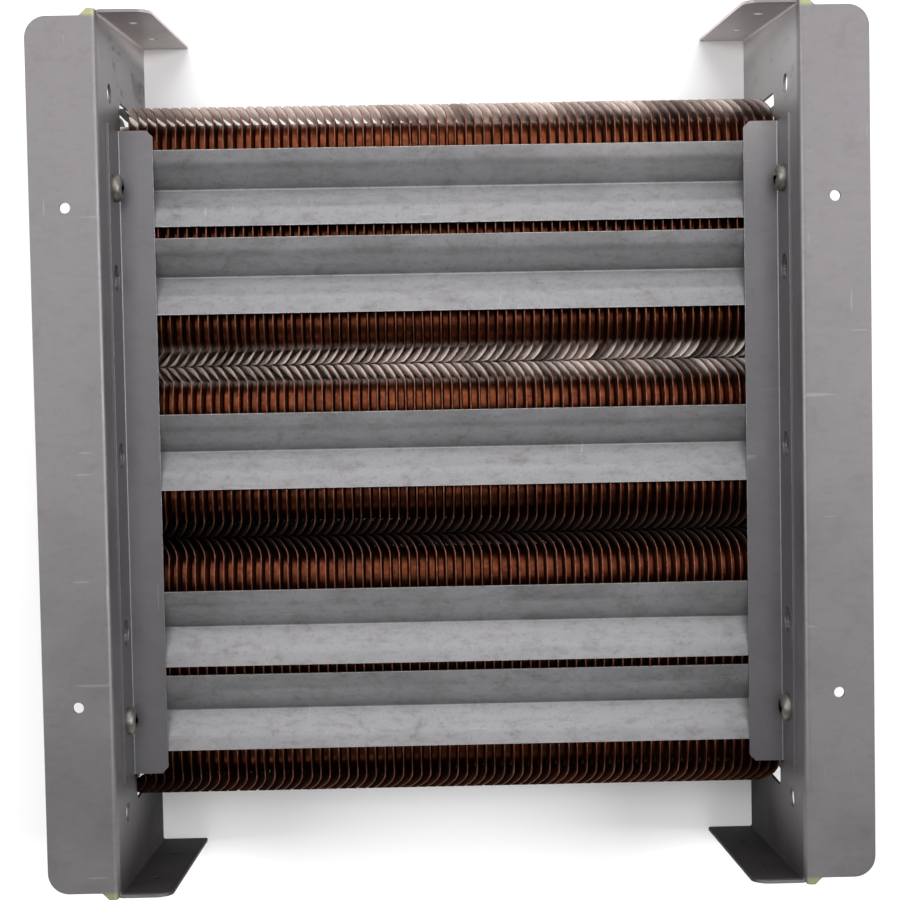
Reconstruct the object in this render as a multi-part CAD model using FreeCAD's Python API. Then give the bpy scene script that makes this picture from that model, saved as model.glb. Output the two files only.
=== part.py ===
import FreeCAD, Part
import math
import os

from FreeCAD import Vector

# Heat exchanger core of a gas pool heater: a row of finned copper tubes held in two folded
# sheet brackets, with V-shaped flue baffles laid in the valleys between the tubes.
#
# Frame, in millimetres: X runs along the tubes, Y from tube to tube, Z up with the flue gas.
# The origin is the middle of the surface that the brackets' lower edges stand on. The core is
# built for its right half and mirrored, except the tubes, whose fins all lean towards -X.

# ---------------------------------------------------------------- driving dimensions

# Finned tubes
TUBE_COUNT = 8
TUBE_PITCH = 34.0
TUBE_OD = 22.2
TUBE_BORE = 18.9
TUBE_AXIS_Z = 46.5
FINS_PER_TUBE = 70
FIN_PITCH = 25.4 / 7
FIN_OD = 41.0
FIN_THICKNESS = 0.5
FIN_SIDE_GAP = 0.3          # between the fins of one tube and those of the next
FIN_SQUARE_HALF = 10.0      # the fin is square to its tube as far out as this, then leans over
FIN_LEAN = 5.0              # how far the edge at the next tube leans along the tube
FIN_ROW_SHIFT = 1.35        # of the fins' feet, so that the leaning edges fit between the webs

# Brackets, one at each end of the tubes
SHEET = 1.2
BEND_RADIUS = 1.0           # inside of every bend in the brackets
BRACKET_HEIGHT = 102.0
WEB_SPACING = 257.0         # between the inner faces of the two webs
FLANGE_SPAN = 309.2         # over the outer edges of the two flanges
FLANGE_LENGTH = 324.0
FLANGE_CORNER = 8.0
FLANGE_RELIEF = 3.4         # strip next to the web where the flange keeps the full length
RELIEF_CORNER = 0.8
WEB_LENGTH_TOP = 329.2      # over the end tabs, which splay a little towards the bottom
WEB_LENGTH_BOTTOM = 343.2
TAB_WIDTH = 19.2
TAB_UPPER_CORNER = 6.5
TAB_LOWER_CORNER = 1.5

# Openings in the brackets
WINDOW_WIDTH = 25.0
WINDOW_LENGTH = 276.0
WINDOW_CORNER = 3.0
FIXING_HOLE = 4.0
FLANGE_HOLE_SPACING = 184.4
TAB_HOLE_INSET = 8.8
TAB_HOLE_SPACING = 43.0     # along the tab, which the holes are square to
TAB_HOLE_MIDDLE_Z = 51.5
HOLE_ROW_Z = 79.0           # height of the holes along each web and its retainer
END_HOLE = 7.6
END_HOLE_SPACING = 275.0

# Flue baffles
VALLEYS = (3, 2, 0, -2, -3)  # in tube pitches from the middle of the core
BAFFLE_LENGTH = 250.0
BAFFLE_WIDTH = 29.6
BAFFLE_SHEET = 0.8
BAFFLE_FOLD_HALF = 8.6      # from the middle of the V to the fold of its lip
BAFFLE_LIP_DROP = 1.2
BAFFLE_DEPTH = 7.2
BAFFLE_BEND = 0.8           # inside radius at the bottom of the V
BAFFLE_LIP_BEND = 9.0       # and of the soft folds of its lips
BAFFLE_SHIFTS = (0.8, 0.8, 0.5, -0.7, 0.3)  # off the middle of each valley, towards +Y

# Baffle retainers, one angle on each web
RETAINER_SHEET = 1.0
RETAINER_LENGTH = 250.0
RETAINER_TOP_Z = 88.0
RETAINER_FACE_Z = 69.7      # upper face of the leg that holds the baffles down
RETAINER_FACE_WIDTH = 14.3
RETAINER_CHAMFER = 2.4
RETAINER_BEND = 0.6
RETAINER_HOLE = 10.0

# Retainer screws, pan head with a cross recess
SCREW_SHANK = 5.3
SCREW_LENGTH = 6.0
SCREW_TIP = 1.5
SCREW_HOLE = 5.6
HEAD_DIAMETER = 10.8
HEAD_HEIGHT = 3.2
HEAD_ROUNDING = 2.5
RECESS_SPAN = 5.6
RECESS_WIDTH = 1.3
RECESS_DEPTH = 2.0

# Tube sheets
TUBE_SHEET_THICKNESS = 9.5
TUBE_SHEET_INNER_X = 134.0
TUBE_SHEET_LENGTH = 274.0
TUBE_SHEET_WIDTH = 66.0
TUBE_SHEET_CORNER = 10.0
TUBE_PROJECTION = 1.0       # of the rolled tube ends past the outer face
HEADER_HOLE = 9.0
HEADER_HOLE_OFFSET = 24.0   # of each row of holes from the tubes' plane
HEADER_HOLE_SPACING = 62.0  # along each row
HEADER_HOLES_PER_ROW = 5

# ---------------------------------------------------------------- values worked out from them

WEB_INNER_X = WEB_SPACING / 2
WEB_OUTER_X = WEB_INNER_X + SHEET
FLANGE_EDGE_X = FLANGE_SPAN / 2
FLANGE_HOLE_X = (WEB_INNER_X + FLANGE_EDGE_X) / 2
BEND_START_Z = BRACKET_HEIGHT - SHEET - BEND_RADIUS
TAB_TIP_X = WEB_INNER_X - TAB_WIDTH
TAB_SPLAY = math.atan((WEB_LENGTH_BOTTOM - WEB_LENGTH_TOP) / 2 / BEND_START_Z)
SCREW_VALLEYS = (VALLEYS[0], VALLEYS[-1])
OPEN_VALLEYS = VALLEYS[1:-1]
BAFFLE_TOP_Z = RETAINER_FACE_Z - RETAINER_SHEET
TUBE_END_X = TUBE_SHEET_INNER_X + TUBE_SHEET_THICKNESS + TUBE_PROJECTION
MARGIN = 5.0                # by which a cutting tool runs past what it cuts
TOUCHING = 1e-6             # points nearer than this are one point

# ---------------------------------------------------------------- helpers


def on_xy(z):
    """Places a flat drawing's (u, v) at (X, Y) on the level z."""
    return lambda u, v: Vector(u, v, z)


def on_xz(y):
    """Places a flat drawing's (u, v) at (X, Z) in the plane y."""
    return lambda u, v: Vector(u, y, v)


def on_yz(x):
    """Places a flat drawing's (u, v) at (Y, Z) in the plane x."""
    return lambda u, v: Vector(x, u, v)


def add_line(edges, start, end):
    """Adds a straight edge, unless two arcs meet there with nothing between them."""
    if start.distanceToPoint(end) > TOUCHING:
        edges.append(Part.makeLine(start, end))


def rounded_path(points, radii, place):
    """Edges through the points, with a tangent arc of the given radius at each inner point."""
    edges = []
    start = Vector(*points[0], 0)
    for before, corner, after, radius in zip(points, points[1:], points[2:], radii):
        here = Vector(*corner, 0)
        back = (Vector(*before, 0) - here).normalize()
        on = (Vector(*after, 0) - here).normalize()
        half_angle = back.getAngle(on) / 2
        trim = radius / math.tan(half_angle)
        first = here + back * trim
        last = here + on * trim
        centre = here + (back + on).normalize() * (radius / math.sin(half_angle))
        middle = centre + (here - centre).normalize() * radius
        add_line(edges, place(start.x, start.y), place(first.x, first.y))
        arc = Part.Arc(place(first.x, first.y), place(middle.x, middle.y), place(last.x, last.y))
        edges.append(arc.toShape())
        start = last
    end = points[-1]
    add_line(edges, place(start.x, start.y), place(*end))
    return edges


def offset_points(points, distance):
    """The path's points moved by the distance to its left, each corner kept as a mitre."""
    moved = []
    directions = [
        (Vector(*b, 0) - Vector(*a, 0)).normalize() for a, b in zip(points, points[1:])
    ]
    normals = [Vector(-d.y, d.x, 0) for d in directions]
    pairs = zip([normals[0]] + normals, normals + [normals[-1]])
    for point, (one, two) in zip(points, pairs):
        bisector = (one + two) / (1 + one.dot(two))
        moved.append((point[0] + bisector.x * distance, point[1] + bisector.y * distance))
    return moved


def folded_section(points, thickness, bends, place):
    """Closed wire of a folded sheet: the points follow one face, the other is to its left.

    The bends are the inside radii, one for each inner point.
    """
    right_radii = []
    left_radii = []
    for a, b, c, bend in zip(points, points[1:], points[2:], bends):
        turn = (b[0] - a[0]) * (c[1] - b[1]) - (b[1] - a[1]) * (c[0] - b[0])
        right_radii.append(bend + thickness if turn > 0 else bend)
        left_radii.append(bend if turn > 0 else bend + thickness)
    right = rounded_path(points, right_radii, place)
    left = rounded_path(offset_points(points, thickness), left_radii, place)
    ends = [
        Part.makeLine(right[0].Vertexes[0].Point, left[0].Vertexes[0].Point),
        Part.makeLine(right[-1].Vertexes[-1].Point, left[-1].Vertexes[-1].Point),
    ]
    return Part.Wire(Part.__sortEdges__(right + left + ends))


def rounded_rectangle(low, high, radius, place):
    """Face of a rectangle between two corners, with its own corners rounded."""
    middle = (low[0] + high[0]) / 2
    points = [(middle, low[1]), (high[0], low[1]), high, (low[0], high[1]), low, (middle, low[1])]
    edges = rounded_path(points, [radius] * 4, place)
    return Part.Face(Part.Wire(edges))


def rod(diameter, x0, x1, y, z):
    """Solid cylinder along X."""
    return Part.makeCylinder(diameter / 2, x1 - x0, Vector(x0, y, z), Vector(1, 0, 0))


def mirrored(shape):
    """The same piece for the left end."""
    return shape.mirror(Vector(0, 0, 0), Vector(1, 0, 0))


def tube_y(number):
    """Height of a tube's axis along Y, counted from 1 at +Y."""
    return ((TUBE_COUNT + 1) / 2 - number) * TUBE_PITCH


# ---------------------------------------------------------------- brackets


def tabs_and_web():
    """Channel of the web and its two end tabs, splayed towards the bottom."""
    sections = []
    for z, length in ((0, WEB_LENGTH_BOTTOM), (BEND_START_Z, WEB_LENGTH_TOP)):
        half = length / 2
        outer = [(TAB_TIP_X, -half), (WEB_OUTER_X, -half), (WEB_OUTER_X, half), (TAB_TIP_X, half)]
        sections.append(folded_section(outer, SHEET, [BEND_RADIUS] * 2, on_xy(z)))
    channel = Part.makeLoft(sections, True, True)
    reach = WEB_LENGTH_BOTTOM / 2 + MARGIN
    outline = [
        (WEB_OUTER_X + MARGIN, 0),
        (TAB_TIP_X, 0),
        (TAB_TIP_X, BEND_START_Z),
        (WEB_OUTER_X + MARGIN, BEND_START_Z),
    ]
    edges = rounded_path(outline, [TAB_LOWER_CORNER, TAB_UPPER_CORNER], on_xz(-reach))
    add_line(edges, on_xz(-reach)(*outline[-1]), on_xz(-reach)(*outline[0]))
    blank = Part.Face(Part.Wire(edges)).extrude(Vector(0, 2 * reach, 0))
    return channel.common(blank)


def flange():
    """Flange and the bend that joins it to the web."""
    reach = WEB_LENGTH_TOP / 2
    path = [
        (WEB_OUTER_X, BEND_START_Z),
        (WEB_OUTER_X, BRACKET_HEIGHT - SHEET),
        (FLANGE_EDGE_X + MARGIN, BRACKET_HEIGHT - SHEET),
    ]
    section = Part.Face(folded_section(path, SHEET, [BEND_RADIUS], on_xz(-reach)))
    bent = section.extrude(Vector(0, 2 * reach, 0))
    root_x = WEB_INNER_X + FLANGE_RELIEF
    half = FLANGE_LENGTH / 2
    step = reach - half
    outline = [
        (WEB_INNER_X, 0),
        (WEB_INNER_X, -reach),
        (root_x, -reach),
        (root_x + step, -half),
        (FLANGE_EDGE_X, -half),
        (FLANGE_EDGE_X, half),
        (root_x + step, half),
        (root_x, reach),
        (WEB_INNER_X, reach),
        (WEB_INNER_X, 0),
    ]
    end_radii = [RELIEF_CORNER] * 3
    radii = end_radii + [FLANGE_CORNER] * 2 + end_radii
    edges = rounded_path(outline, radii, on_xy(0))
    blank = Part.Face(Part.Wire(edges)).extrude(Vector(0, 0, BRACKET_HEIGHT + MARGIN))
    return bent.common(blank)


def tab_hole(side, along):
    """Tool for one hole square to an end tab, at a distance up the tab from its hole pair's middle."""
    outward = Vector(0, side * math.cos(TAB_SPLAY), math.sin(TAB_SPLAY))
    upward = Vector(0, -side * math.sin(TAB_SPLAY), math.cos(TAB_SPLAY))
    middle_y = WEB_LENGTH_BOTTOM / 2 - TAB_HOLE_MIDDLE_Z * math.tan(TAB_SPLAY)
    middle = Vector(WEB_INNER_X - TAB_HOLE_INSET, side * middle_y, TAB_HOLE_MIDDLE_Z)
    base = middle + upward * along - outward * MARGIN
    return Part.makeCylinder(FIXING_HOLE / 2, 2 * MARGIN, base, outward)


def bracket_holes():
    """Every round hole and the window, as tools that run through the sheet."""
    inner = WEB_INNER_X - MARGIN
    outer = WEB_OUTER_X + MARGIN
    low = (-WINDOW_LENGTH / 2, TUBE_AXIS_Z - WINDOW_WIDTH / 2)
    high = (WINDOW_LENGTH / 2, TUBE_AXIS_Z + WINDOW_WIDTH / 2)
    face = rounded_rectangle(low, high, WINDOW_CORNER, on_yz(inner))
    tools = [face.extrude(Vector(outer - inner, 0, 0))]
    for valley in SCREW_VALLEYS:
        tools.append(rod(SCREW_HOLE, inner, outer, valley * TUBE_PITCH, HOLE_ROW_Z))
    for valley in OPEN_VALLEYS:
        tools.append(rod(RETAINER_HOLE, inner, outer, valley * TUBE_PITCH, HOLE_ROW_Z))
    for side in (-1, 1):
        tools.append(rod(END_HOLE, inner, outer, side * END_HOLE_SPACING / 2, HOLE_ROW_Z))
        flange_hole = Vector(FLANGE_HOLE_X, side * FLANGE_HOLE_SPACING / 2, BRACKET_HEIGHT - MARGIN)
        tools.append(Part.makeCylinder(FIXING_HOLE / 2, 2 * MARGIN, flange_hole, Vector(0, 0, 1)))
        tools += [tab_hole(side, end * TAB_HOLE_SPACING / 2) for end in (-1, 1)]
    return tools


def bracket():
    """Right-hand bracket."""
    sheet = tabs_and_web().fuse(flange()).removeSplitter()
    return sheet.cut(bracket_holes())


# ---------------------------------------------------------------- baffles and their retainers


def baffle(centre):
    """Flue baffle: a V with flatter lips, lying along the tubes at a distance along Y."""
    half = BAFFLE_WIDTH / 2
    upper = [
        (half, 0),
        (BAFFLE_FOLD_HALF, -BAFFLE_LIP_DROP),
        (0, -BAFFLE_DEPTH),
        (-BAFFLE_FOLD_HALF, -BAFFLE_LIP_DROP),
        (-half, 0),
    ]
    points = [(centre + y, BAFFLE_TOP_Z + z) for y, z in reversed(upper)]
    lower = offset_points(points, -BAFFLE_SHEET)
    bends = (BAFFLE_LIP_BEND, BAFFLE_BEND, BAFFLE_LIP_BEND)
    section = folded_section(lower, BAFFLE_SHEET, bends, on_yz(-BAFFLE_LENGTH / 2))
    return Part.Face(section).extrude(Vector(BAFFLE_LENGTH, 0, 0))


def retainer():
    """Right-hand angle that holds the baffles down on the fins."""
    half = RETAINER_LENGTH / 2
    tip_x = WEB_INNER_X - RETAINER_FACE_WIDTH
    back_z = RETAINER_FACE_Z - RETAINER_SHEET
    path = [(tip_x, back_z), (WEB_INNER_X, back_z), (WEB_INNER_X, RETAINER_TOP_Z)]
    section = Part.Face(folded_section(path, RETAINER_SHEET, [RETAINER_BEND], on_xz(-half)))
    angle = section.extrude(Vector(0, 2 * half, 0))
    tools = []
    for side in (-1, 1):
        corner = [
            Vector(tip_x - MARGIN, side * (half + MARGIN), back_z - MARGIN),
            Vector(tip_x - MARGIN, side * (half - RETAINER_CHAMFER - MARGIN), back_z - MARGIN),
            Vector(tip_x + RETAINER_CHAMFER + MARGIN, side * (half + MARGIN), back_z - MARGIN),
        ]
        face = Part.Face(Part.makePolygon(corner + corner[:1]))
        tools.append(face.extrude(Vector(0, 0, RETAINER_SHEET + 2 * MARGIN)))
    inner = WEB_INNER_X - RETAINER_FACE_WIDTH / 2
    for valley in SCREW_VALLEYS:
        tools.append(rod(SCREW_HOLE, inner, WEB_OUTER_X, valley * TUBE_PITCH, HOLE_ROW_Z))
    for valley in OPEN_VALLEYS:
        tools.append(rod(RETAINER_HOLE, inner, WEB_OUTER_X, valley * TUBE_PITCH, HOLE_ROW_Z))
    return angle.cut(tools)


def screw(valley):
    """Pan-head screw through the retainer and the web, its head on the retainer."""
    seat_x = WEB_INNER_X - RETAINER_SHEET
    crown = HEAD_DIAMETER / 2
    shank = SCREW_SHANK / 2
    end_x = seat_x + SCREW_LENGTH
    head = [(seat_x - HEAD_HEIGHT, 0), (seat_x - HEAD_HEIGHT, crown), (seat_x, crown)]
    below = [
        (seat_x, crown),
        (seat_x, shank),
        (end_x - SCREW_TIP, shank),
        (end_x, shank / 2),
        (end_x, 0),
        (seat_x - HEAD_HEIGHT, 0),
    ]
    edges = rounded_path(head, [HEAD_ROUNDING], on_xz(0))
    edges += [Part.makeLine(on_xz(0)(*a), on_xz(0)(*b)) for a, b in zip(below, below[1:])]
    profile = Part.Face(Part.Wire(edges))
    solid = profile.revolve(Vector(0, 0, 0), Vector(1, 0, 0), 360)
    for size_y, size_z in ((RECESS_SPAN, RECESS_WIDTH), (RECESS_WIDTH, RECESS_SPAN)):
        corner = Vector(seat_x - HEAD_HEIGHT - MARGIN, -size_y / 2, -size_z / 2)
        slot = Part.makeBox(MARGIN + RECESS_DEPTH, size_y, size_z, corner)
        solid = solid.cut(slot)
    solid.translate(Vector(0, valley * TUBE_PITCH, HOLE_ROW_Z))
    return solid


# ---------------------------------------------------------------- tubes and tube sheets


def fin():
    """One fin on the X axis: square to the tube in the middle, leaning at its two side edges."""
    half = TUBE_PITCH / 2 - FIN_SIDE_GAP / 2
    middle_line = [
        (-FIN_LEAN, -half),
        (0, -FIN_SQUARE_HALF),
        (0, FIN_SQUARE_HALF),
        (-FIN_LEAN, half),
    ]
    front = [(x + FIN_THICKNESS / 2, y) for x, y in middle_line]
    back = [(x - FIN_THICKNESS / 2, y) for x, y in reversed(middle_line)]
    corners = [Vector(x, y, -FIN_OD / 2) for x, y in front + back + front[:1]]
    slab = Part.Face(Part.makePolygon(corners)).extrude(Vector(0, 0, FIN_OD))
    return slab.common(rod(FIN_OD, -2 * FIN_LEAN, FIN_LEAN, 0, 0))


def finned_tube():
    """Finned tube on the X axis, with plain ends."""
    one = fin()
    fins = []
    for index in range(FINS_PER_TUBE):
        copy = one.copy()
        copy.translate(Vector((index - (FINS_PER_TUBE - 1) / 2) * FIN_PITCH + FIN_ROW_SHIFT, 0, 0))
        fins.append(copy)
    body = rod(TUBE_OD, -TUBE_END_X, TUBE_END_X, 0, 0).fuse(fins)
    return body.cut(rod(TUBE_BORE, -TUBE_END_X - MARGIN, TUBE_END_X + MARGIN, 0, 0))


def tube_sheet():
    """Right-hand tube sheet, with a row of header bolt holes along each long side."""
    low = (-TUBE_SHEET_LENGTH / 2, TUBE_AXIS_Z - TUBE_SHEET_WIDTH / 2)
    high = (TUBE_SHEET_LENGTH / 2, TUBE_AXIS_Z + TUBE_SHEET_WIDTH / 2)
    plate = rounded_rectangle(low, high, TUBE_SHEET_CORNER, on_yz(TUBE_SHEET_INNER_X))
    plate = plate.extrude(Vector(TUBE_SHEET_THICKNESS, 0, 0))
    inner = TUBE_SHEET_INNER_X - MARGIN
    outer = TUBE_SHEET_INNER_X + TUBE_SHEET_THICKNESS + MARGIN
    tools = []
    for number in range(1, TUBE_COUNT + 1):
        tools.append(rod(TUBE_OD, inner, outer, tube_y(number), TUBE_AXIS_Z))
    for index in range(HEADER_HOLES_PER_ROW):
        y = (index - (HEADER_HOLES_PER_ROW - 1) / 2) * HEADER_HOLE_SPACING
        for side in (-1, 1):
            tools.append(rod(HEADER_HOLE, inner, outer, y, TUBE_AXIS_Z + side * HEADER_HOLE_OFFSET))
    return plate.cut(tools)


# ---------------------------------------------------------------- the assembly


def build():
    """Every node's shape, by its name."""
    nodes = {}
    right_pieces = {
        "bracket": bracket(),
        "baffle_retainer": retainer(),
        "retainer_screws": Part.makeCompound([screw(valley) for valley in SCREW_VALLEYS]),
        "tube_sheet": tube_sheet(),
    }
    for name, shape in right_pieces.items():
        nodes["right_" + name] = shape
        nodes["left_" + name] = mirrored(shape)
    for number, (valley, shift) in enumerate(zip(VALLEYS, BAFFLE_SHIFTS), start=1):
        nodes[f"flue_baffle_{number}"] = baffle(valley * TUBE_PITCH + shift)
    tube = finned_tube()
    for number in range(1, TUBE_COUNT + 1):
        copy = tube.copy()
        copy.translate(Vector(0, tube_y(number), TUBE_AXIS_Z))
        nodes[f"finned_tube_{number}"] = copy
    return nodes


os.makedirs("parts", exist_ok=True)
for node, node_shape in build().items():
    node_shape.exportStep(f"parts/{node}.step")
    solids = len(node_shape.Solids)
    print(f"{node}: {solids} solid(s), valid {node_shape.isValid()}, {node_shape.Volume:.0f} mm3")
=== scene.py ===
import math

import bmesh
import bpy
import numpy as np
from mathutils import Euler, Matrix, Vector


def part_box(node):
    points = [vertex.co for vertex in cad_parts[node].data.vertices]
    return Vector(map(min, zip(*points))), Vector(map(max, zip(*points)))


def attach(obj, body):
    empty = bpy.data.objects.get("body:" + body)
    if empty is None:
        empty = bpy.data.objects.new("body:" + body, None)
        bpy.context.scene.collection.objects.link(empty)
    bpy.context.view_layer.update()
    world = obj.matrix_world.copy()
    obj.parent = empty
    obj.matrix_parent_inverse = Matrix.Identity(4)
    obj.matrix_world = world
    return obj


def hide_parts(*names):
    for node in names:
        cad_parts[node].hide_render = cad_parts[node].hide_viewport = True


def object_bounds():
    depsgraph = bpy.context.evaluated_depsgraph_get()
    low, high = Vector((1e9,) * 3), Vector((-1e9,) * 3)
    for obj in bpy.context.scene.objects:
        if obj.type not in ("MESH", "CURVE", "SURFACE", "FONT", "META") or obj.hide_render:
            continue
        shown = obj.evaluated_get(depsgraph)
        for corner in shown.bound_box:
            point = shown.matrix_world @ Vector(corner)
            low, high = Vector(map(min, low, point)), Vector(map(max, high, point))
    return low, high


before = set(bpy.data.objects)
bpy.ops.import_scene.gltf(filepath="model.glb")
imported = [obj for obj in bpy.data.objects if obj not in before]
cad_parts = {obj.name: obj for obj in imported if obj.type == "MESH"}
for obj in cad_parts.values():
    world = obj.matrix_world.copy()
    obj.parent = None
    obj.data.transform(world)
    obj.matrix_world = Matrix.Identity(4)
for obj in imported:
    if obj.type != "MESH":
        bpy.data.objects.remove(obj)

# Looks of the heat exchanger core of a gas pool heater, in metres, in the CAD's frame: X along
# the tubes, Y from tube to tube, Z up. Sheet pieces keep their CAD shape and get broken edges;
# the finned tubes and the retainer screws are modelled again in more detail.

CAD_LOW, CAD_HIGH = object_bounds()
MM = 0.001
SEED = 7

# Counts and fins
TUBE_COUNT = 8
BAFFLE_COUNT = 5
FINS_PER_TUBE = 70
FIN_PITCH = 25.4 / 7 * MM
FIN_ROW_SHIFT = 1.35 * MM
FIN_RADIUS = 20.5 * MM
FIN_FLAT = 16.85 * MM           # from the tube's axis to the flat side edges
FIN_LEAN = 4.1 * MM             # of the rim where it meets the flat side edges, towards -X
FIN_LEAN_START = 9.4 * MM
FIN_LEAN_POWER = 2.0
FIN_CURL = 4.3 * MM             # what the middle of a fin's height leans beyond its rim
FIN_CURL_START = 10.4 * MM
FIN_CURL_POWER = 2.6
FIN_CURL_ROUNDING = 0.6
FIN_HALF = 0.2 * MM             # half the thickness of a fin
FIN_ROOT_HALF = 0.85 * MM       # and at its root, where it widens into the wall
FIN_ROOT_HEIGHT = 0.9 * MM
FIN_ROOT_SINK = 0.05 * MM       # of the root below the wall's surface
RIM_CROWN = 0.06 * MM           # of the rim's middle beyond its edges
FIN_ANGLES = 48
FIN_RINGS = (0.3, 0.55, 0.8, 1.0)
OUTER_CURL = 1.45               # lean of the row's last -Y side, as a part of the others' lean

# How far the fins are off their places
PITCH_JITTER = 0.07 * MM
LEAN_JITTER = 0.035
LEAN_DRIFT = 0.132              # slow change of the lean along a tube
DRIFT_WINDOW = 9                # number of fins that it is smoothed over
TILT_JITTER = 0.012
RIPPLE = 0.012
RIPPLE_WAVES = 3
RIPPLE_PHASES = 6.3

# Tube walls
WALL_RADIUS = 11.1 * MM
BORE_RADIUS = 9.45 * MM
WALL_ANGLES = 48
MOUTH_FLARE = 0.35 * MM         # of the rolled tube ends
MOUTH_CHAMFER = 0.15 * MM
MOUTH_LENGTH = 0.9 * MM
MOUTH_SHOULDER = 1.0 * MM
MOUTH_TAPER = 2.5 * MM          # length of the widening bore

# Pale ash and painted highlight, and soot and painted shade, by gap, from above tube 1 to below tube 8
ASH_AND_HIGHLIGHT_BY_GAP = (1.0, 0.2, 0.15, 1.0, 0.15, 0.0, 0.05, 0.05, 0.0)
SOOT_AND_SHADE_BY_GAP = (0.0, 0.3, 0.3, 0.0, 0.5, 1.0, 0.6, 0.4, 0.4)
ASH_AND_HIGHLIGHT_RISE = 4                    # how fast the ash and painted highlight set in where a fin starts to lean
ASH_AND_HIGHLIGHT_ENDS = (1.4, 0.8)           # ash and painted highlight at the -X end and at the +X end
ASH_AND_HIGHLIGHT_FLICKER = 0.22              # from fin to fin
ASH_AND_HIGHLIGHT_FLICKER_RANGE = (0.4, 1.5)
RIM_ASH_AND_HIGHLIGHT = 0.04                  # ash and painted highlight on a fin's rim, as a part of that on its sides
WALL_ASH_AND_HIGHLIGHT_START = 8.5 * MM       # from the tube's axis to where the ash and painted highlight on its wall start
WALL_ASH_AND_HIGHLIGHT_FULL = 10 * MM
SOOT_AND_SHADE_START = 0.45               # part of the way to a fin's flat edges where the soot and painted shade start
SOOT_AND_SHADE_FULL = 0.75                # and where they are full
CROWN_SOOT_AND_SHADE = 0.12               # soot and painted shade on the tube's crown, as a part of that on the sides
FIN_SOOT_AND_SHADE_BLEND = 1.2 * FIN_FLAT
WALL_SOOT_AND_SHADE_BLEND = FIN_FLAT
WALL_REFLECTION_REACH = 2.5 * MM      # height above the wall up to which a fin takes the wall's painted reflection

# Retainer screws
SHANK_RADIUS = 2.65 * MM
SHANK_CORE = 1.5 * MM           # what lies nearer to the axis keeps its place
SHANK_START = 0.5 * MM          # from the seat
HEAD_TO_SEAT = 3.2 * MM
THREAD_ROOT = 2.05 * MM
THREAD_PITCH = 1.6 * MM
THREAD_STEPS = 20               # in a turn
THREAD_LEAD_IN = 4              # steps over which the thread rises
THREAD_FLANK = 0.45             # half the thread's width, as a part of its pitch
THREAD_SINK = 0.1 * MM
THREAD_START = 0.8 * MM         # from the seat
THREAD_END = 1.2 * MM           # before the tip

# Broken edges
BRACKET_EDGE = 0.22 * MM
RETAINER_EDGE = 0.25 * MM
BAFFLE_EDGE = 0.2 * MM
PLATE_EDGE = 0.5 * MM
SCREW_EDGE = 0.3 * MM
EDGE_ANGLE = math.radians(40)   # sharper edges than this are broken
FLAT_ANGLE = math.radians(0.5)  # faces within this of each other are joined up
WELD = 1e-6

# Where the brackets' finish changes, as the places where each change starts and is complete: painted
# light at the +Y tabs and the right web, soot and painted shade at -Y, a yellow film and smudges
BELOW_FLANGE = (100 * MM, 96 * MM)
PAINTED_LIGHT_TAB = (159 * MM, 165.5 * MM)
PAINTED_LIGHT_WEB = (90 * MM, 150 * MM)
RIGHT_SIDE = (0, 50 * MM)
SOOT_AND_SHADE_END = (-104 * MM, -150 * MM)
SOOT_AND_SHADE_SLANT = 0.2                # the soot and painted shade reach further up the row near the lower edge
FILM_TIP = (161.2 * MM, 163 * MM)
FILM_INNER = (128.5 * MM, 129.8 * MM)
FILM_OUTER = (134.5 * MM, 133 * MM)
FILM_HEIGHT = (97.5 * MM, 100 * MM)
SMUDGED_END = (118 * MM, 150 * MM)
SMUDGE_TOP = (100 * MM, 94 * MM)


# ---------------------------------------------------------------- node materials


def linear(red, green, blue):
    """Scene-linear colour of an sRGB colour given in 0..255."""
    values = [channel / 255 for channel in (red, green, blue)]
    return tuple(v / 12.92 if v <= 0.04045 else ((v + 0.055) / 1.055) ** 2.4 for v in values) + (1,)


def scaled(colour, factor):
    """A lighter or darker shade of a colour."""
    return tuple(channel * factor for channel in colour[:3]) + (1,)


WORN_SPECK = linear(160, 159, 158)
SCRATCH = linear(176, 175, 174)
# The lighter tab and web colours below are painted light, and the dark sheet colour is soot with
# painted shade.
PAINTED_LIGHT_TAB_COLOUR = linear(196, 188, 186)
PAINTED_LIGHT_WEB_COLOUR = linear(196, 192, 192)
SOOT_AND_SHADE_SHEET = linear(27, 22, 21)
YELLOW_FILM = linear(158, 160, 112)
BURNISHED = linear(176, 174, 174)
COPPER_DARK = linear(70, 38, 27)
COPPER_LIGHT = linear(112, 62, 40)
COPPER_STAIN = linear(54, 31, 23)
# The wall colour is a painted reflection: the lighter orange that the fins throw onto the tube walls.
COPPER_WALL_REFLECTION = linear(116, 60, 34)
COPPER_RIM_LIGHT = linear(116, 76, 62)
COPPER_RIM_DARK = linear(80, 46, 34)
# The near-black copper is soot with painted shade, and the near-white is pale ash with painted
# highlight.
COPPER_SOOT_AND_SHADE = linear(20, 9, 6)
PALE_ASH_AND_HIGHLIGHT = linear(246, 234, 228)
ZINC_GREY = linear(128, 125, 122)
ZINC_YELLOWED = linear(120, 115, 107)
ZINC_DIRT = linear(60, 55, 46)
PLATE_DARK = linear(98, 97, 97)
PLATE_LIGHT = linear(122, 121, 121)
TOOL_MARK = linear(76, 74, 73)
RUST = linear(80, 48, 30)
PAPER_DARK = linear(251, 251, 251)
PAPER_LIGHT = linear(254, 254, 254)


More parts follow.
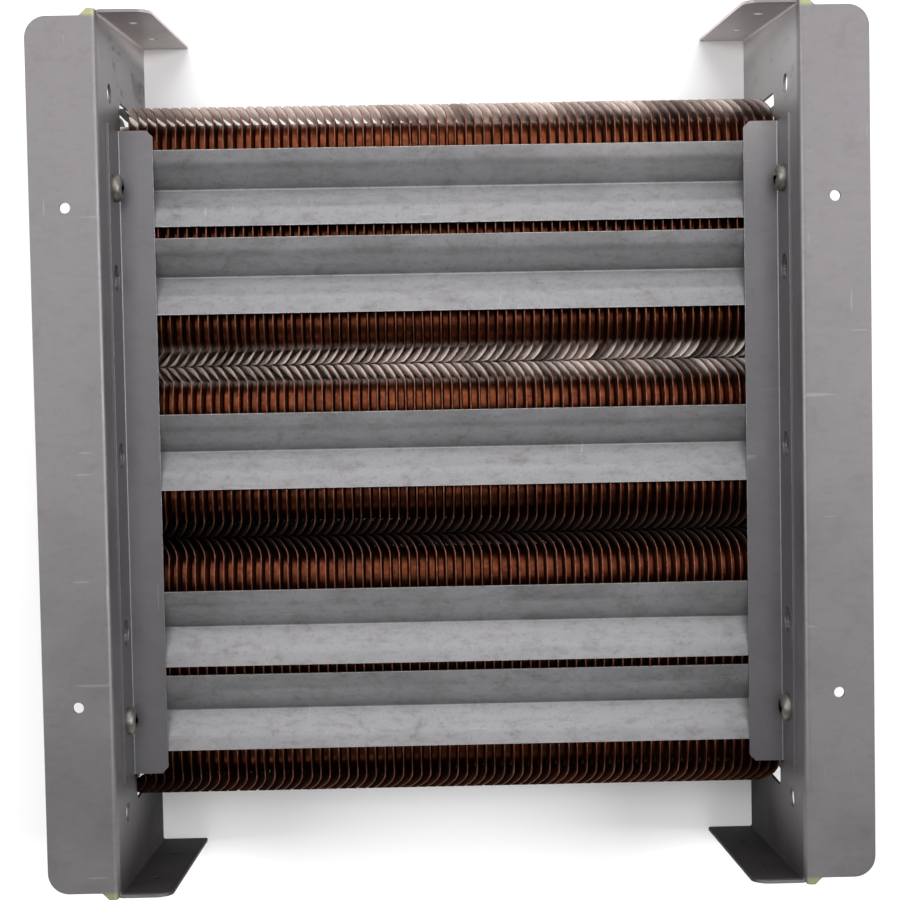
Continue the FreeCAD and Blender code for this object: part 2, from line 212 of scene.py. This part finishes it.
class Shader:
    """A procedural material, built node by node on the object's own coordinates."""

    def __init__(self, name, metallic=0.0):
        self.material = bpy.data.materials.new(name)
        self.material.use_nodes = True
        self.nodes = self.material.node_tree.nodes
        self.links = self.material.node_tree.links
        self.surface = self.nodes["Principled BSDF"]
        self.surface.inputs["Metallic"].default_value = metallic
        self.place = self.nodes.new("ShaderNodeTexCoord").outputs["Object"]

    def feed(self, socket, value):
        """Links an output to a socket, or sets the socket to a constant."""
        if isinstance(value, bpy.types.NodeSocket):
            self.links.new(value, socket)
        else:
            socket.default_value = value

    def attribute(self, name):
        """A value that the mesh carries on its points."""
        node = self.nodes.new("ShaderNodeAttribute")
        node.attribute_name = name
        return node.outputs["Fac"]

    def axis(self, letter):
        """The place along one of the object's axes."""
        node = self.nodes.new("ShaderNodeSeparateXYZ")
        self.links.new(self.place, node.inputs[0])
        return node.outputs[letter]

    def noise(self, size, detail=4.0, roughness=0.6, stretch=(1, 1, 1), shift=0.0, distortion=0.0):
        """Noise of about this feature size in metres, longer along an axis where stretch is more."""
        mapping = self.nodes.new("ShaderNodeMapping")
        mapping.inputs["Location"].default_value = (shift, shift * 1.7, shift * 0.6)
        mapping.inputs["Scale"].default_value = [1 / (size * s) for s in stretch]
        self.links.new(self.place, mapping.inputs["Vector"])
        node = self.nodes.new("ShaderNodeTexNoise")
        node.inputs["Scale"].default_value = 1.0
        node.inputs["Detail"].default_value = detail
        node.inputs["Roughness"].default_value = roughness
        node.inputs["Distortion"].default_value = distortion
        self.links.new(mapping.outputs["Vector"], node.inputs["Vector"])
        return node.outputs["Fac"]

    def span(self, value, low, high, to_low=0.0, to_high=1.0):
        """The value carried smoothly from one range to another."""
        node = self.nodes.new("ShaderNodeMapRange")
        node.interpolation_type = "SMOOTHSTEP"
        self.feed(node.inputs["Value"], value)
        node.inputs["From Min"].default_value = low
        node.inputs["From Max"].default_value = high
        node.inputs["To Min"].default_value = to_low
        node.inputs["To Max"].default_value = to_high
        return node.outputs["Result"]

    def math(self, operation, first, second=0.0):
        """One arithmetic step."""
        node = self.nodes.new("ShaderNodeMath")
        node.operation = operation
        self.feed(node.inputs[0], first)
        self.feed(node.inputs[1], second)
        return node.outputs[0]

    def times(self, product, *others):
        """The product of several values."""
        for other in others:
            product = self.math("MULTIPLY", product, other)
        return product

    def mix(self, amount, first, second):
        """Colour between two colours."""
        node = self.nodes.new("ShaderNodeMix")
        node.data_type = "RGBA"
        self.feed(node.inputs["Factor"], amount)
        self.feed(node.inputs[6], first)
        self.feed(node.inputs[7], second)
        return node.outputs[2]

    def bump(self, height, distance, strength=1.0, under=None):
        """A normal roughened by a height, on top of another normal if one is given."""
        node = self.nodes.new("ShaderNodeBump")
        node.inputs["Distance"].default_value = distance
        node.inputs["Strength"].default_value = strength
        self.feed(node.inputs["Height"], height)
        if under is not None:
            self.links.new(under, node.inputs["Normal"])
        return node.outputs["Normal"]

    def finish(self, colour, roughness, normal, metallic=None):
        """Connects the surface and returns the material."""
        self.feed(self.surface.inputs["Base Color"], colour)
        self.feed(self.surface.inputs["Roughness"], roughness)
        self.links.new(normal, self.surface.inputs["Normal"])
        if metallic is not None:
            self.feed(self.surface.inputs["Metallic"], metallic)
        return self.material


def sheet_steel(name, tone, stain, cloudiness, speckle, smudge, roughness, metallic):
    """Coated sheet steel: cloudy tone, fine speckles, dark smudges and a few scratches, with painted
    light and painted shade at the brackets' ends.
    """
    s = Shader(name)
    cloud = s.noise(40 * MM, detail=5, roughness=0.6)
    fine = s.noise(1.6 * MM, detail=3, roughness=0.7)
    grainy = s.noise(4.2 * MM, detail=5, roughness=0.75, shift=3.1)
    rolled = s.noise(2.8 * MM, detail=6, roughness=0.7, stretch=(2.5, 1, 1), shift=9.0)
    spots = s.noise(2.4 * MM, detail=2, roughness=0.5, shift=9.0)
    streaks = s.noise(
        11 * MM, detail=7, roughness=0.7, shift=1.3, distortion=0.6, stretch=(1, 1, 2.6)
    )
    scratch = s.noise(0.9 * MM, detail=1, stretch=(30, 3, 1), shift=5.0)
    across = s.noise(0.9 * MM, detail=1, stretch=(2, 28, 9), shift=8.0)
    dark = scaled(tone, 1 - cloudiness)
    light = scaled(tone, 1 + cloudiness)
    colour = s.mix(s.span(cloud, 0.34, 0.68), dark, light)
    colour = s.mix(s.span(fine, 0.54, 0.7, to_high=speckle), colour, stain)
    colour = s.mix(s.span(grainy, 0.56, 0.76, to_high=speckle * 0.7), colour, WORN_SPECK)
    colour = s.mix(s.span(rolled, 0.46, 0.68, to_high=speckle), colour, stain)
    colour = s.mix(s.span(spots, 0.7, 0.74, to_high=speckle), colour, stain)
    patches = s.times(s.span(streaks, 0.53, 0.72), smudge_places(s, smudge))
    colour = s.mix(patches, colour, stain)
    marks = s.math("MAXIMUM", s.span(scratch, 0.75, 0.79), s.span(across, 0.76, 0.8))
    colour = s.mix(s.times(marks, 0.2), colour, SCRATCH)
    colour, sooted_and_shaded = bracket_ends(s, colour, cloud)
    rough = s.span(cloud, 0.3, 0.7, roughness - 0.05, roughness + 0.05)
    rough = s.math("ADD", rough, s.times(patches, 0.12))
    rough = s.math("ADD", rough, s.times(sooted_and_shaded, 0.4))
    metal = s.span(sooted_and_shaded, 0, 1, metallic, 0.1)
    normal = s.bump(s.noise(60 * MM, detail=1), 0.6 * MM, 0.4)
    normal = s.bump(fine, 0.05 * MM, 0.5, under=normal)
    return s.finish(colour, rough, normal, metal)


def bracket_ends(s, colour, cloud):
    """Painted light on the tabs at +Y and the right web, soot with painted shade at -Y, and yellowed
    corners: the new colour, and how much soot and shade.
    """
    x, y, z = (s.axis(letter) for letter in "XYZ")
    off_centre = s.math("ABSOLUTE", x)
    below_flange = s.span(z, *BELOW_FLANGE)
    # Painted light: the tabs at +Y are lighter below the flange, as if lit by the floor they face.
    painted_light_tab = s.times(s.span(y, *PAINTED_LIGHT_TAB), below_flange, 0.8)
    colour = s.mix(painted_light_tab, colour, PAINTED_LIGHT_TAB_COLOUR)
    # Painted light: the right web's +Y end is lighter below the flange.
    painted_light_web = s.times(s.span(y, *PAINTED_LIGHT_WEB), s.span(x, *RIGHT_SIDE), below_flange, 0.35)
    colour = s.mix(painted_light_web, colour, PAINTED_LIGHT_WEB_COLOUR)
    # Soot and painted shade: the -Y ends below the flange turn near black.
    slanted = s.math("ADD", y, s.times(z, SOOT_AND_SHADE_SLANT))
    sooted_and_shaded = s.times(s.span(slanted, *SOOT_AND_SHADE_END), below_flange, s.span(cloud, 0.2, 0.6, 0.95, 1.0))
    colour = s.mix(sooted_and_shaded, colour, SOOT_AND_SHADE_SHEET)
    tip = s.span(s.math("ABSOLUTE", y), *FILM_TIP)
    beside_web = s.times(s.span(off_centre, *FILM_INNER), s.span(off_centre, *FILM_OUTER))
    film = s.times(tip, beside_web, s.span(z, *FILM_HEIGHT), 0.75)
    return s.mix(film, colour, YELLOW_FILM), sooted_and_shaded


def smudge_places(s, everywhere):
    """How smudged the sheet is: a little everywhere, more inside the webs' ends at +Y."""
    end = s.span(s.axis("Y"), *SMUDGED_END)
    below_flange = s.span(s.axis("Z"), *SMUDGE_TOP)
    return s.span(s.times(end, below_flange), 0, 1, everywhere, 0.85)


def cut_edge(name, tone):
    """The bare, burnished metal of a sheet's broken edges."""
    s = Shader(name, metallic=1.0)
    nicks = s.noise(2.5 * MM, detail=5, roughness=0.7)
    colour = s.mix(s.span(nicks, 0.4, 0.66), tone, scaled(tone, 0.45))
    rough = s.span(nicks, 0.3, 0.7, 0.26, 0.5)
    return s.finish(colour, rough, s.bump(nicks, 0.06 * MM, 0.6))


def finned_copper():
    """Copper darkened by the flue gas, lighter at the fins' rims, with a painted reflection on the
    walls, pale ash with painted highlight, and soot with painted shade.
    """
    s = Shader("copper_fins")
    rim, ash_and_highlight, soot_and_shade, wall = (s.attribute(name) for name in ("rim", "ash_and_highlight", "soot_and_shade", "wall"))
    patina = s.noise(12 * MM, detail=5, roughness=0.65)
    fine = s.noise(2.2 * MM, detail=4, roughness=0.7, shift=2.0)
    streak = s.span(s.noise(3.5 * MM, detail=4, roughness=0.7, shift=7.0), 0.38, 0.62)
    brushed = s.noise(1.2 * MM, detail=3, stretch=(6, 6, 1), shift=4.0)
    drifts = s.noise(20 * MM, detail=4, shift=4.0)
    colour = s.mix(s.span(patina, 0.36, 0.66), COPPER_DARK, COPPER_LIGHT)
    colour = s.mix(s.span(fine, 0.48, 0.72, to_high=0.55), colour, COPPER_STAIN)
    # Painted reflection: the tube walls, and the fins near them, get a lighter orange in streaks.
    colour = s.mix(s.times(wall, s.span(streak, 0, 1, 0.3, 0.85)), colour, COPPER_WALL_REFLECTION)
    bright = s.mix(s.span(fine, 0.35, 0.65), COPPER_RIM_LIGHT, COPPER_RIM_DARK)
    colour = s.mix(s.times(rim, 0.75), colour, bright)
    # Soot and painted shade: darker on the -Y sides and towards the fins' flat edges.
    grime_and_shade = s.times(soot_and_shade, s.span(rim, 0, 1, 1.0, 0.3))
    colour = s.mix(s.times(grime_and_shade, s.span(patina, 0.25, 0.6, 0.8, 1.0)), colour, COPPER_SOOT_AND_SHADE)
    # Pale ash and painted highlight: near white on the fins' leaning parts in the listed gaps.
    dusted_and_lit = s.times(ash_and_highlight, s.span(drifts, 0.3, 0.55, 0.75, 1.0), s.span(brushed, 0.36, 0.56, 0.78, 1.0))
    colour = s.mix(dusted_and_lit, colour, PALE_ASH_AND_HIGHLIGHT)
    rough = s.math("ADD", s.span(fine, 0.3, 0.7, 0.3, 0.48), s.times(grime_and_shade, 0.2))
    metal = s.span(s.math("MAXIMUM", grime_and_shade, dusted_and_lit), 0.0, 1.0, 0.95, 0.25)
    return s.finish(colour, rough, s.bump(fine, 0.06 * MM, 0.5), metal)


def zinc_plate():
    """Dull, slightly yellowed zinc plating on the retainer screws."""
    s = Shader("zinc_screw", metallic=0.95)
    film = s.noise(4 * MM, detail=4)
    dirt = s.noise(1.1 * MM, detail=4, shift=2.4)
    colour = s.mix(s.span(film, 0.38, 0.64), ZINC_GREY, ZINC_YELLOWED)
    colour = s.mix(s.span(dirt, 0.56, 0.72, to_high=0.6), colour, ZINC_DIRT)
    rough = s.span(dirt, 0.3, 0.7, 0.4, 0.58)
    return s.finish(colour, rough, s.bump(dirt, 0.05 * MM, 0.5))


def machined_plate():
    """Milled steel plate with tool marks along it, light rust and stains."""
    s = Shader("tube_sheet_plate", metallic=0.9)
    stain = s.noise(30 * MM, detail=6, roughness=0.66)
    rust = s.noise(11 * MM, detail=7, roughness=0.72, shift=6.0)
    lines = s.noise(0.6 * MM, detail=2, stretch=(1, 60, 1), shift=1.0)
    colour = s.mix(s.span(stain, 0.34, 0.66), PLATE_DARK, PLATE_LIGHT)
    colour = s.mix(s.span(lines, 0.42, 0.66, to_high=0.4), colour, TOOL_MARK)
    colour = s.mix(s.span(rust, 0.6, 0.72, to_high=0.7), colour, RUST)
    rough = s.span(rust, 0.5, 0.7, 0.36, 0.7)
    normal = s.bump(lines, 0.04 * MM, 0.6)
    return s.finish(colour, rough, s.bump(rust, 0.1 * MM, 0.3, under=normal))


def floor_paper():
    """White paper, very slightly cloudy."""
    s = Shader("floor_paper")
    fibres = s.noise(2 * MM, detail=3)
    clouds = s.noise(300 * MM, detail=2)
    colour = s.mix(s.span(clouds, 0.3, 0.7), PAPER_DARK, PAPER_LIGHT)
    return s.finish(colour, s.span(fibres, 0.3, 0.7, 0.85, 0.95), s.bump(fibres, 0.05 * MM, 0.3))


# ---------------------------------------------------------------- pieces


def place_piece(mesh, materials, node):
    """Makes the object that stands for a CAD node."""
    piece = bpy.data.objects.new("visual_" + node, mesh)
    bpy.context.collection.objects.link(piece)
    for material in materials:
        mesh.materials.append(material)
    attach(piece, "root")
    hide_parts(node)
    return piece


def smooth_up_to(mesh, degrees):
    """Smooth shading, with sharp edges where faces turn by more than this."""
    mesh.shade_smooth()
    mesh.set_sharp_from_angle(angle=math.radians(degrees))


def broken_edges(node, width, segments=2):
    """A copy of a CAD node's mesh, its flat faces joined up and its sharp edges broken.

    The broken edges take the second material.
    """
    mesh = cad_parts[node].data.copy()
    mesh.materials.clear()
    shape = bmesh.new()
    shape.from_mesh(mesh)
    bmesh.ops.remove_doubles(shape, verts=shape.verts, dist=WELD)
    bmesh.ops.dissolve_limit(
        shape, angle_limit=FLAT_ANGLE, verts=shape.verts, edges=shape.edges
    )
    for face in shape.faces:
        face.material_index = 0
    sharp = [e for e in shape.edges if e.is_manifold and e.calc_face_angle() > EDGE_ANGLE]
    bmesh.ops.bevel(
        shape,
        geom=sharp,
        offset=width,
        offset_type="OFFSET",
        segments=segments,
        profile=0.5,
        affect="EDGES",
        clamp_overlap=True,
        material=1,
    )
    bmesh.ops.triangulate(shape, faces=[f for f in shape.faces if len(f.verts) > 4])
    shape.to_mesh(mesh)
    shape.free()
    smooth_up_to(mesh, 28)
    return mesh


def sheet_piece(node, materials, width):
    """A sheet or plate in its CAD shape, its large faces shaded flat between the broken edges."""
    piece = place_piece(broken_edges(node, width), materials, node)
    even = piece.modifiers.new("even_shading", "WEIGHTED_NORMAL")
    even.mode = "FACE_AREA"
    even.weight = 100
    even.keep_sharp = True


def ramp(value, start, full):
    """How far a value is on its way from start to full, within 0..1."""
    return np.clip((value - start) / (full - start), 0, 1)


def lean(y, z):
    """How far a fin leans towards -X: more to the side, and most in the middle of its height."""
    reach = ramp(np.abs(y), FIN_LEAN_START, FIN_FLAT)
    curl_reach = ramp(np.abs(y), FIN_CURL_START, FIN_FLAT)
    rim_height = np.sqrt(np.maximum(FIN_RADIUS**2 - y**2, 1e-12))
    inward = 1 - np.clip(np.abs(z) / rim_height, 0, 1)
    curl = FIN_CURL * (1 - (1 - curl_reach) ** FIN_CURL_POWER) * inward**FIN_CURL_ROUNDING
    return FIN_LEAN * reach**FIN_LEAN_POWER + curl


def fin_template():
    """A flat fin: (y, z, x within its thickness, 1 on the rim) of its points, and its faces."""
    angle = np.arange(FIN_ANGLES) * 2 * math.pi / FIN_ANGLES
    outline = np.minimum(FIN_RADIUS, FIN_FLAT / np.maximum(np.abs(np.cos(angle)), 1e-6))
    root = WALL_RADIUS - FIN_ROOT_SINK
    radii = [np.full(FIN_ANGLES, root), np.full(FIN_ANGLES, root + FIN_ROOT_HEIGHT)]
    halves = [FIN_ROOT_HALF, FIN_HALF]
    for ring in FIN_RINGS:
        radii.append(radii[1] + (outline - radii[1]) * ring)
        halves.append(FIN_HALF)
    rows = []
    for side in (1, -1):
        rows += [(radius, side * half, 0.0) for radius, half in zip(radii, halves)]
    rows += [
        (outline, FIN_HALF, 1.0),
        (outline + RIM_CROWN, 0.0, 1.0),
        (outline, -FIN_HALF, 1.0),
    ]
    points = [
        (r[k] * math.cos(angle[k]), r[k] * math.sin(angle[k]), side, rim)
        for r, side, rim in rows
        for k in range(FIN_ANGLES)
    ]
    count = len(radii)
    strips = [(row, row + 1) for row in range(count - 1)]
    strips += [(count + row + 1, count + row) for row in range(count - 1)]
    strips += [(2 * count, 2 * count + 1), (2 * count + 1, 2 * count + 2)]
    return np.array(points), ring_faces(strips, FIN_ANGLES)


def ring_faces(strips, angles):
    """Faces between pairs of rings of points, each ring given by its number."""
    faces = []
    for low, high in strips:
        for k in range(angles):
            after = (k + 1) % angles
            corner = [low * angles + k, high * angles + k]
            faces.append(corner + [high * angles + after, low * angles + after])
    return np.array(faces)


def tube_wall(end_x):
    """Points and faces of the plain tube, its bore and its rolled ends."""
    outer = WALL_RADIUS
    half = [
        (end_x - MOUTH_SHOULDER, outer),
        (end_x - MOUTH_LENGTH, outer + MOUTH_FLARE / 2),
        (end_x - MOUTH_CHAMFER, outer + MOUTH_FLARE),
        (end_x, BORE_RADIUS + MOUTH_FLARE),
    ]
    profile = [(-x, radius) for x, radius in reversed(half)] + half
    profile += [(end_x - MOUTH_TAPER, BORE_RADIUS), (-end_x + MOUTH_TAPER, BORE_RADIUS)]
    points = []
    for x, radius in profile:
        for k in range(WALL_ANGLES):
            angle = 2 * math.pi * k / WALL_ANGLES
            points.append((x, radius * math.cos(angle), radius * math.sin(angle)))
    rows = len(profile)
    strips = [((row + 1) % rows, row) for row in range(rows)]
    # A face's first corner decides its split into triangles, and here that is its second one.
    return np.array(points), np.roll(ring_faces(strips, WALL_ANGLES), -1, axis=1)


def side_amount(y, number, amounts):
    """The amount on the +Y or -Y side of a tube, out of those for the gaps in order."""
    return np.where(y > 0, amounts[number - 1], amounts[number])


def soot_and_shade_across(y, number, blend):
    """Soot and painted shade across a tube, going evenly from its -Y side's to its +Y side's amount.
    """
    toward = np.clip(0.5 + y / blend, 0, 1)
    return SOOT_AND_SHADE_BY_GAP[number - 1] * toward + SOOT_AND_SHADE_BY_GAP[number] * (1 - toward)


def fin_finish(number, template):
    """Point values of one fin, before its ash and painted highlight change along the tube."""
    y, z, side, rim = template.T
    height = (np.hypot(y, z) - WALL_RADIUS).clip(0)
    leaning = ramp(np.abs(y), FIN_LEAN_START, FIN_FLAT)
    # Pale ash with painted highlight and soot with painted shade are set per point here.
    ash_and_highlight = np.clip(leaning * ASH_AND_HIGHLIGHT_RISE, 0, 1) * side_amount(y, number, ASH_AND_HIGHLIGHT_BY_GAP)
    outward = ramp(np.abs(y) / FIN_FLAT, SOOT_AND_SHADE_START, SOOT_AND_SHADE_FULL)
    soot_and_shade = soot_and_shade_across(y, number, FIN_SOOT_AND_SHADE_BLEND) * (CROWN_SOOT_AND_SHADE + (1 - CROWN_SOOT_AND_SHADE) * outward)
    return {
        "rim": rim,
        "ash_and_highlight": ash_and_highlight * (1 - rim * (1 - RIM_ASH_AND_HIGHLIGHT)),
        "soot_and_shade": soot_and_shade,
        "wall": np.clip(1 - height / WALL_REFLECTION_REACH, 0, 1),
    }


def wall_finish(number, y):
    """Point values of a tube's wall."""
    ash_and_highlight = ramp(np.abs(y), WALL_ASH_AND_HIGHLIGHT_START, WALL_ASH_AND_HIGHLIGHT_FULL) * side_amount(y, number, ASH_AND_HIGHLIGHT_BY_GAP)
    return {
        "rim": np.zeros(len(y)),
        "ash_and_highlight": ash_and_highlight,
        "soot_and_shade": CROWN_SOOT_AND_SHADE * soot_and_shade_across(y, number, WALL_SOOT_AND_SHADE_BLEND),
        "wall": np.ones(len(y)),
    }


def lean_drift(chance):
    """Smoothed noise along a tube, one row for each side."""
    steps = chance.normal(0, 1, (2, FINS_PER_TUBE + DRIFT_WINDOW - 1))
    window = np.hanning(DRIFT_WINDOW) / np.hanning(DRIFT_WINDOW).sum()
    return np.array([np.convolve(row, window, mode="valid") for row in steps])


def leaning_fin(template, index, drift, lower_lean, chance):
    """Points of one fin, a little off its pitch, lean and squareness."""
    y, z, side, rim = template.T
    spread = (np.hypot(y, z) - WALL_RADIUS).clip(0)
    base = (index - (FINS_PER_TUBE - 1) / 2) * FIN_PITCH + FIN_ROW_SHIFT
    base += chance.normal(0, PITCH_JITTER)
    upper, lower = 1 + LEAN_DRIFT * drift[:, index] + chance.normal(0, LEAN_JITTER, 2)
    amount = np.where(y > 0, upper, lower * lower_lean)
    tilt_y, tilt_z = chance.normal(0, TILT_JITTER, 2)
    tilt = (tilt_y * y + tilt_z * z) * spread / FIN_RADIUS
    phase = chance.uniform(0, RIPPLE_PHASES)
    ripple = RIPPLE * spread * np.sin(RIPPLE_WAVES * np.arctan2(z, y) + phase)
    x = base + side - lean(y, z) * amount + tilt + ripple
    return np.column_stack((x, y, z))


def finned_tube(number, material):
    """One finned tube: its fins, its wall, and their finish as values on the points."""
    node = f"finned_tube_{number}"
    low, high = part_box(node)
    centre = np.array((0, (low[1] + high[1]) / 2, (low[2] + high[2]) / 2))
    chance = np.random.default_rng(SEED + number)
    template, fin_faces = fin_template()
    finish = fin_finish(number, template)
    drift = lean_drift(chance)
    lower_lean = OUTER_CURL if number == TUBE_COUNT else 1
    points = []
    faces = []
    finishes = []
    for index in range(FINS_PER_TUBE):
        points.append(centre + leaning_fin(template, index, drift, lower_lean, chance))
        faces.append(fin_faces + index * len(template))
        flicker = np.clip(chance.normal(1, ASH_AND_HIGHLIGHT_FLICKER), *ASH_AND_HIGHLIGHT_FLICKER_RANGE)
        along = index / (FINS_PER_TUBE - 1)
        dusting_and_highlight = flicker * (ASH_AND_HIGHLIGHT_ENDS[0] * (1 - along) + ASH_AND_HIGHLIGHT_ENDS[1] * along)
        finishes.append(finish | {"ash_and_highlight": np.clip(finish["ash_and_highlight"] * dusting_and_highlight, 0, 1)})
    wall_points, wall_faces = tube_wall((high[0] - low[0]) / 2)
    points.append(centre + wall_points)
    faces.append(wall_faces + len(template) * FINS_PER_TUBE)
    finishes.append(wall_finish(number, wall_points[:, 1]))
    mesh = bpy.data.meshes.new("visual_" + node)
    mesh.from_pydata(np.vstack(points).tolist(), [], np.vstack(faces).tolist())
    for name in finish:
        layer = mesh.attributes.new(name, "FLOAT", "POINT")
        values = np.concatenate([part[name] for part in finishes])
        layer.data.foreach_set("value", values.astype(np.float32))
    smooth_up_to(mesh, 38)
    place_piece(mesh, [material], node)


def thread_ridge(shape, centre, start_x, end_x, sense):
    """Adds a screw's helical thread to a bmesh."""
    steps = int(abs(end_x - start_x) / THREAD_PITCH * THREAD_STEPS)
    foot = THREAD_ROOT - THREAD_SINK
    rows = []
    for step in range(steps + 1):
        angle = 2 * math.pi * step / THREAD_STEPS
        x = start_x + (end_x - start_x) * step / steps
        taper = min(1.0, (steps - step) / THREAD_STEPS, step / THREAD_LEAD_IN)
        crest = THREAD_ROOT + (SHANK_RADIUS - THREAD_ROOT) * taper
        row = []
        for offset, radius in ((-THREAD_FLANK, foot), (0, crest), (THREAD_FLANK, foot)):
            place = (
                x + offset * THREAD_PITCH * sense,
                centre.y + radius * math.cos(angle),
                centre.z + radius * math.sin(angle),
            )
            row.append(shape.verts.new(place))
        rows.append(row)
    for one, two in zip(rows, rows[1:]):
        for k in range(2):
            shape.faces.new((one[k], one[k + 1], two[k + 1], two[k]))


def screws(side, material):
    """Both screws of one side: the CAD heads with soft edges, and threaded shanks."""
    node = f"{side}_retainer_screws"
    mesh = broken_edges(node, SCREW_EDGE, 3)
    low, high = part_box(node)
    sense, inner_x, outer_x = (1, low[0], high[0]) if side == "right" else (-1, high[0], low[0])
    seat_x = inner_x + sense * HEAD_TO_SEAT
    middle_z = (low[2] + high[2]) / 2
    head_radius = (high[2] - low[2]) / 2
    centres = [Vector((0, y, middle_z)) for y in (low[1] + head_radius, high[1] - head_radius)]
    shape = bmesh.new()
    shape.from_mesh(mesh)
    for vert in shape.verts:
        centre = min(centres, key=lambda c: abs(c.y - vert.co.y))
        offset = Vector((0, vert.co.y - centre.y, vert.co.z - centre.z))
        beyond = (vert.co.x - seat_x) * sense
        if beyond > SHANK_START and offset.length > SHANK_CORE:
            offset *= THREAD_ROOT / SHANK_RADIUS
            vert.co = Vector((vert.co.x, centre.y + offset.y, centre.z + offset.z))
    start_x = seat_x + sense * THREAD_START
    end_x = outer_x - sense * THREAD_END
    for centre in centres:
        thread_ridge(shape, centre, start_x, end_x, sense)
    shape.to_mesh(mesh)
    shape.free()
    smooth_up_to(mesh, 30)
    place_piece(mesh, [material, material], node)


# ---------------------------------------------------------------- the object

bracket_steel = sheet_steel(
    "bracket_sheet",
    tone=linear(118, 115, 117),
    stain=linear(62, 55, 52),
    cloudiness=0.035,
    speckle=0.08,
    smudge=0.12,
    roughness=0.46,
    metallic=0.75,
)
retainer_steel = sheet_steel(
    "retainer_sheet",
    tone=linear(110, 108, 111),
    stain=linear(60, 56, 54),
    cloudiness=0.04,
    speckle=0.08,
    smudge=0.1,
    roughness=0.44,
    metallic=0.78,
)
baffle_steel = sheet_steel(
    "baffle_sheet",
    tone=linear(126, 125, 127),
    stain=linear(66, 60, 52),
    cloudiness=0.09,
    speckle=0.24,
    smudge=0.3,
    roughness=0.5,
    metallic=0.7,
)
edge = cut_edge("cut_edge", BURNISHED)
plate_steel = machined_plate()
copper = finned_copper()
zinc = zinc_plate()

for side in ("left", "right"):
    sheet_piece(f"{side}_bracket", [bracket_steel, edge], BRACKET_EDGE)
    sheet_piece(f"{side}_baffle_retainer", [retainer_steel, edge], RETAINER_EDGE)
    sheet_piece(f"{side}_tube_sheet", [plate_steel, edge], PLATE_EDGE)
    screws(side, zinc)
for number in range(1, BAFFLE_COUNT + 1):
    sheet_piece(f"flue_baffle_{number}", [baffle_steel, edge], BAFFLE_EDGE)
for number in range(1, TUBE_COUNT + 1):
    finned_tube(number, copper)

# ---------------------------------------------------------------- the studio

CAMERA_PLACE = (-0.01043, 0.02523, 0.69676)
CAMERA_TURN = (-2.322, -0.844, -1.042)
CAMERA_LENS = 64.457
FLOOR_HALF = 4.0
WORLD_COLOUR = (0.95, 0.97, 1.0, 1)
WORLD_STRENGTH = 0.05
LIGHT_TARGET = (0.0, 0.0, 0.05)

# (place, size, power) of each soft box: most of the light comes from the +Y side and both ends.
SOFT_BOXES = (
    ((0.0, 1.8, 0.9), (1.6, 0.8), 12),
    ((0.0, 1.4, 1.4), (1.6, 1.0), 12),
    ((0.0, 0.75, 1.9), (1.4, 0.8), 10),
    ((0.0, 0.0, 2.0), (1.2, 0.8), 4.5),
    ((0.0, -1.8, 0.7), (1.6, 0.8), 7),
    ((-1.5, 0.2, 1.3), (0.8, 1.4), 25),
    ((1.5, 0.2, 1.3), (0.8, 1.4), 31),
)


def area_light(name, place, size, power):
    """A soft box aimed at the object."""
    lamp = bpy.data.lights.new(name, "AREA")
    lamp.shape = "RECTANGLE"
    lamp.size, lamp.size_y = size
    lamp.energy = power
    box = bpy.data.objects.new(name, lamp)
    box.location = place
    box.rotation_euler = (Vector(LIGHT_TARGET) - Vector(place)).to_track_quat("-Z", "Y").to_euler()
    bpy.context.collection.objects.link(box)


floor_corners = [
    (x * FLOOR_HALF, y * FLOOR_HALF, CAD_LOW[2]) for x, y in ((-1, -1), (1, -1), (1, 1), (-1, 1))
]
floor_mesh = bpy.data.meshes.new("floor")
floor_mesh.from_pydata(floor_corners, [], [(0, 1, 2, 3)])
floor_mesh.materials.append(floor_paper())
floor = bpy.data.objects.new("floor", floor_mesh)
bpy.context.collection.objects.link(floor)

for number, (place, size, power) in enumerate(SOFT_BOXES, start=1):
    area_light(f"soft_box_{number}", place, size, power)

world = bpy.data.worlds.new("studio")
world.use_nodes = True
background = world.node_tree.nodes["Background"]
background.inputs["Color"].default_value = WORLD_COLOUR
background.inputs["Strength"].default_value = WORLD_STRENGTH
bpy.context.scene.world = world

lens = bpy.data.cameras.new("camera")
lens.lens = CAMERA_LENS
camera = bpy.data.objects.new("camera", lens)
camera.location = CAMERA_PLACE
camera.rotation_euler = Euler([math.radians(turn) for turn in CAMERA_TURN], "XYZ")
bpy.context.collection.objects.link(camera)
bpy.context.scene.camera = camera
bpy.context.scene.view_settings.view_transform = "Standard"
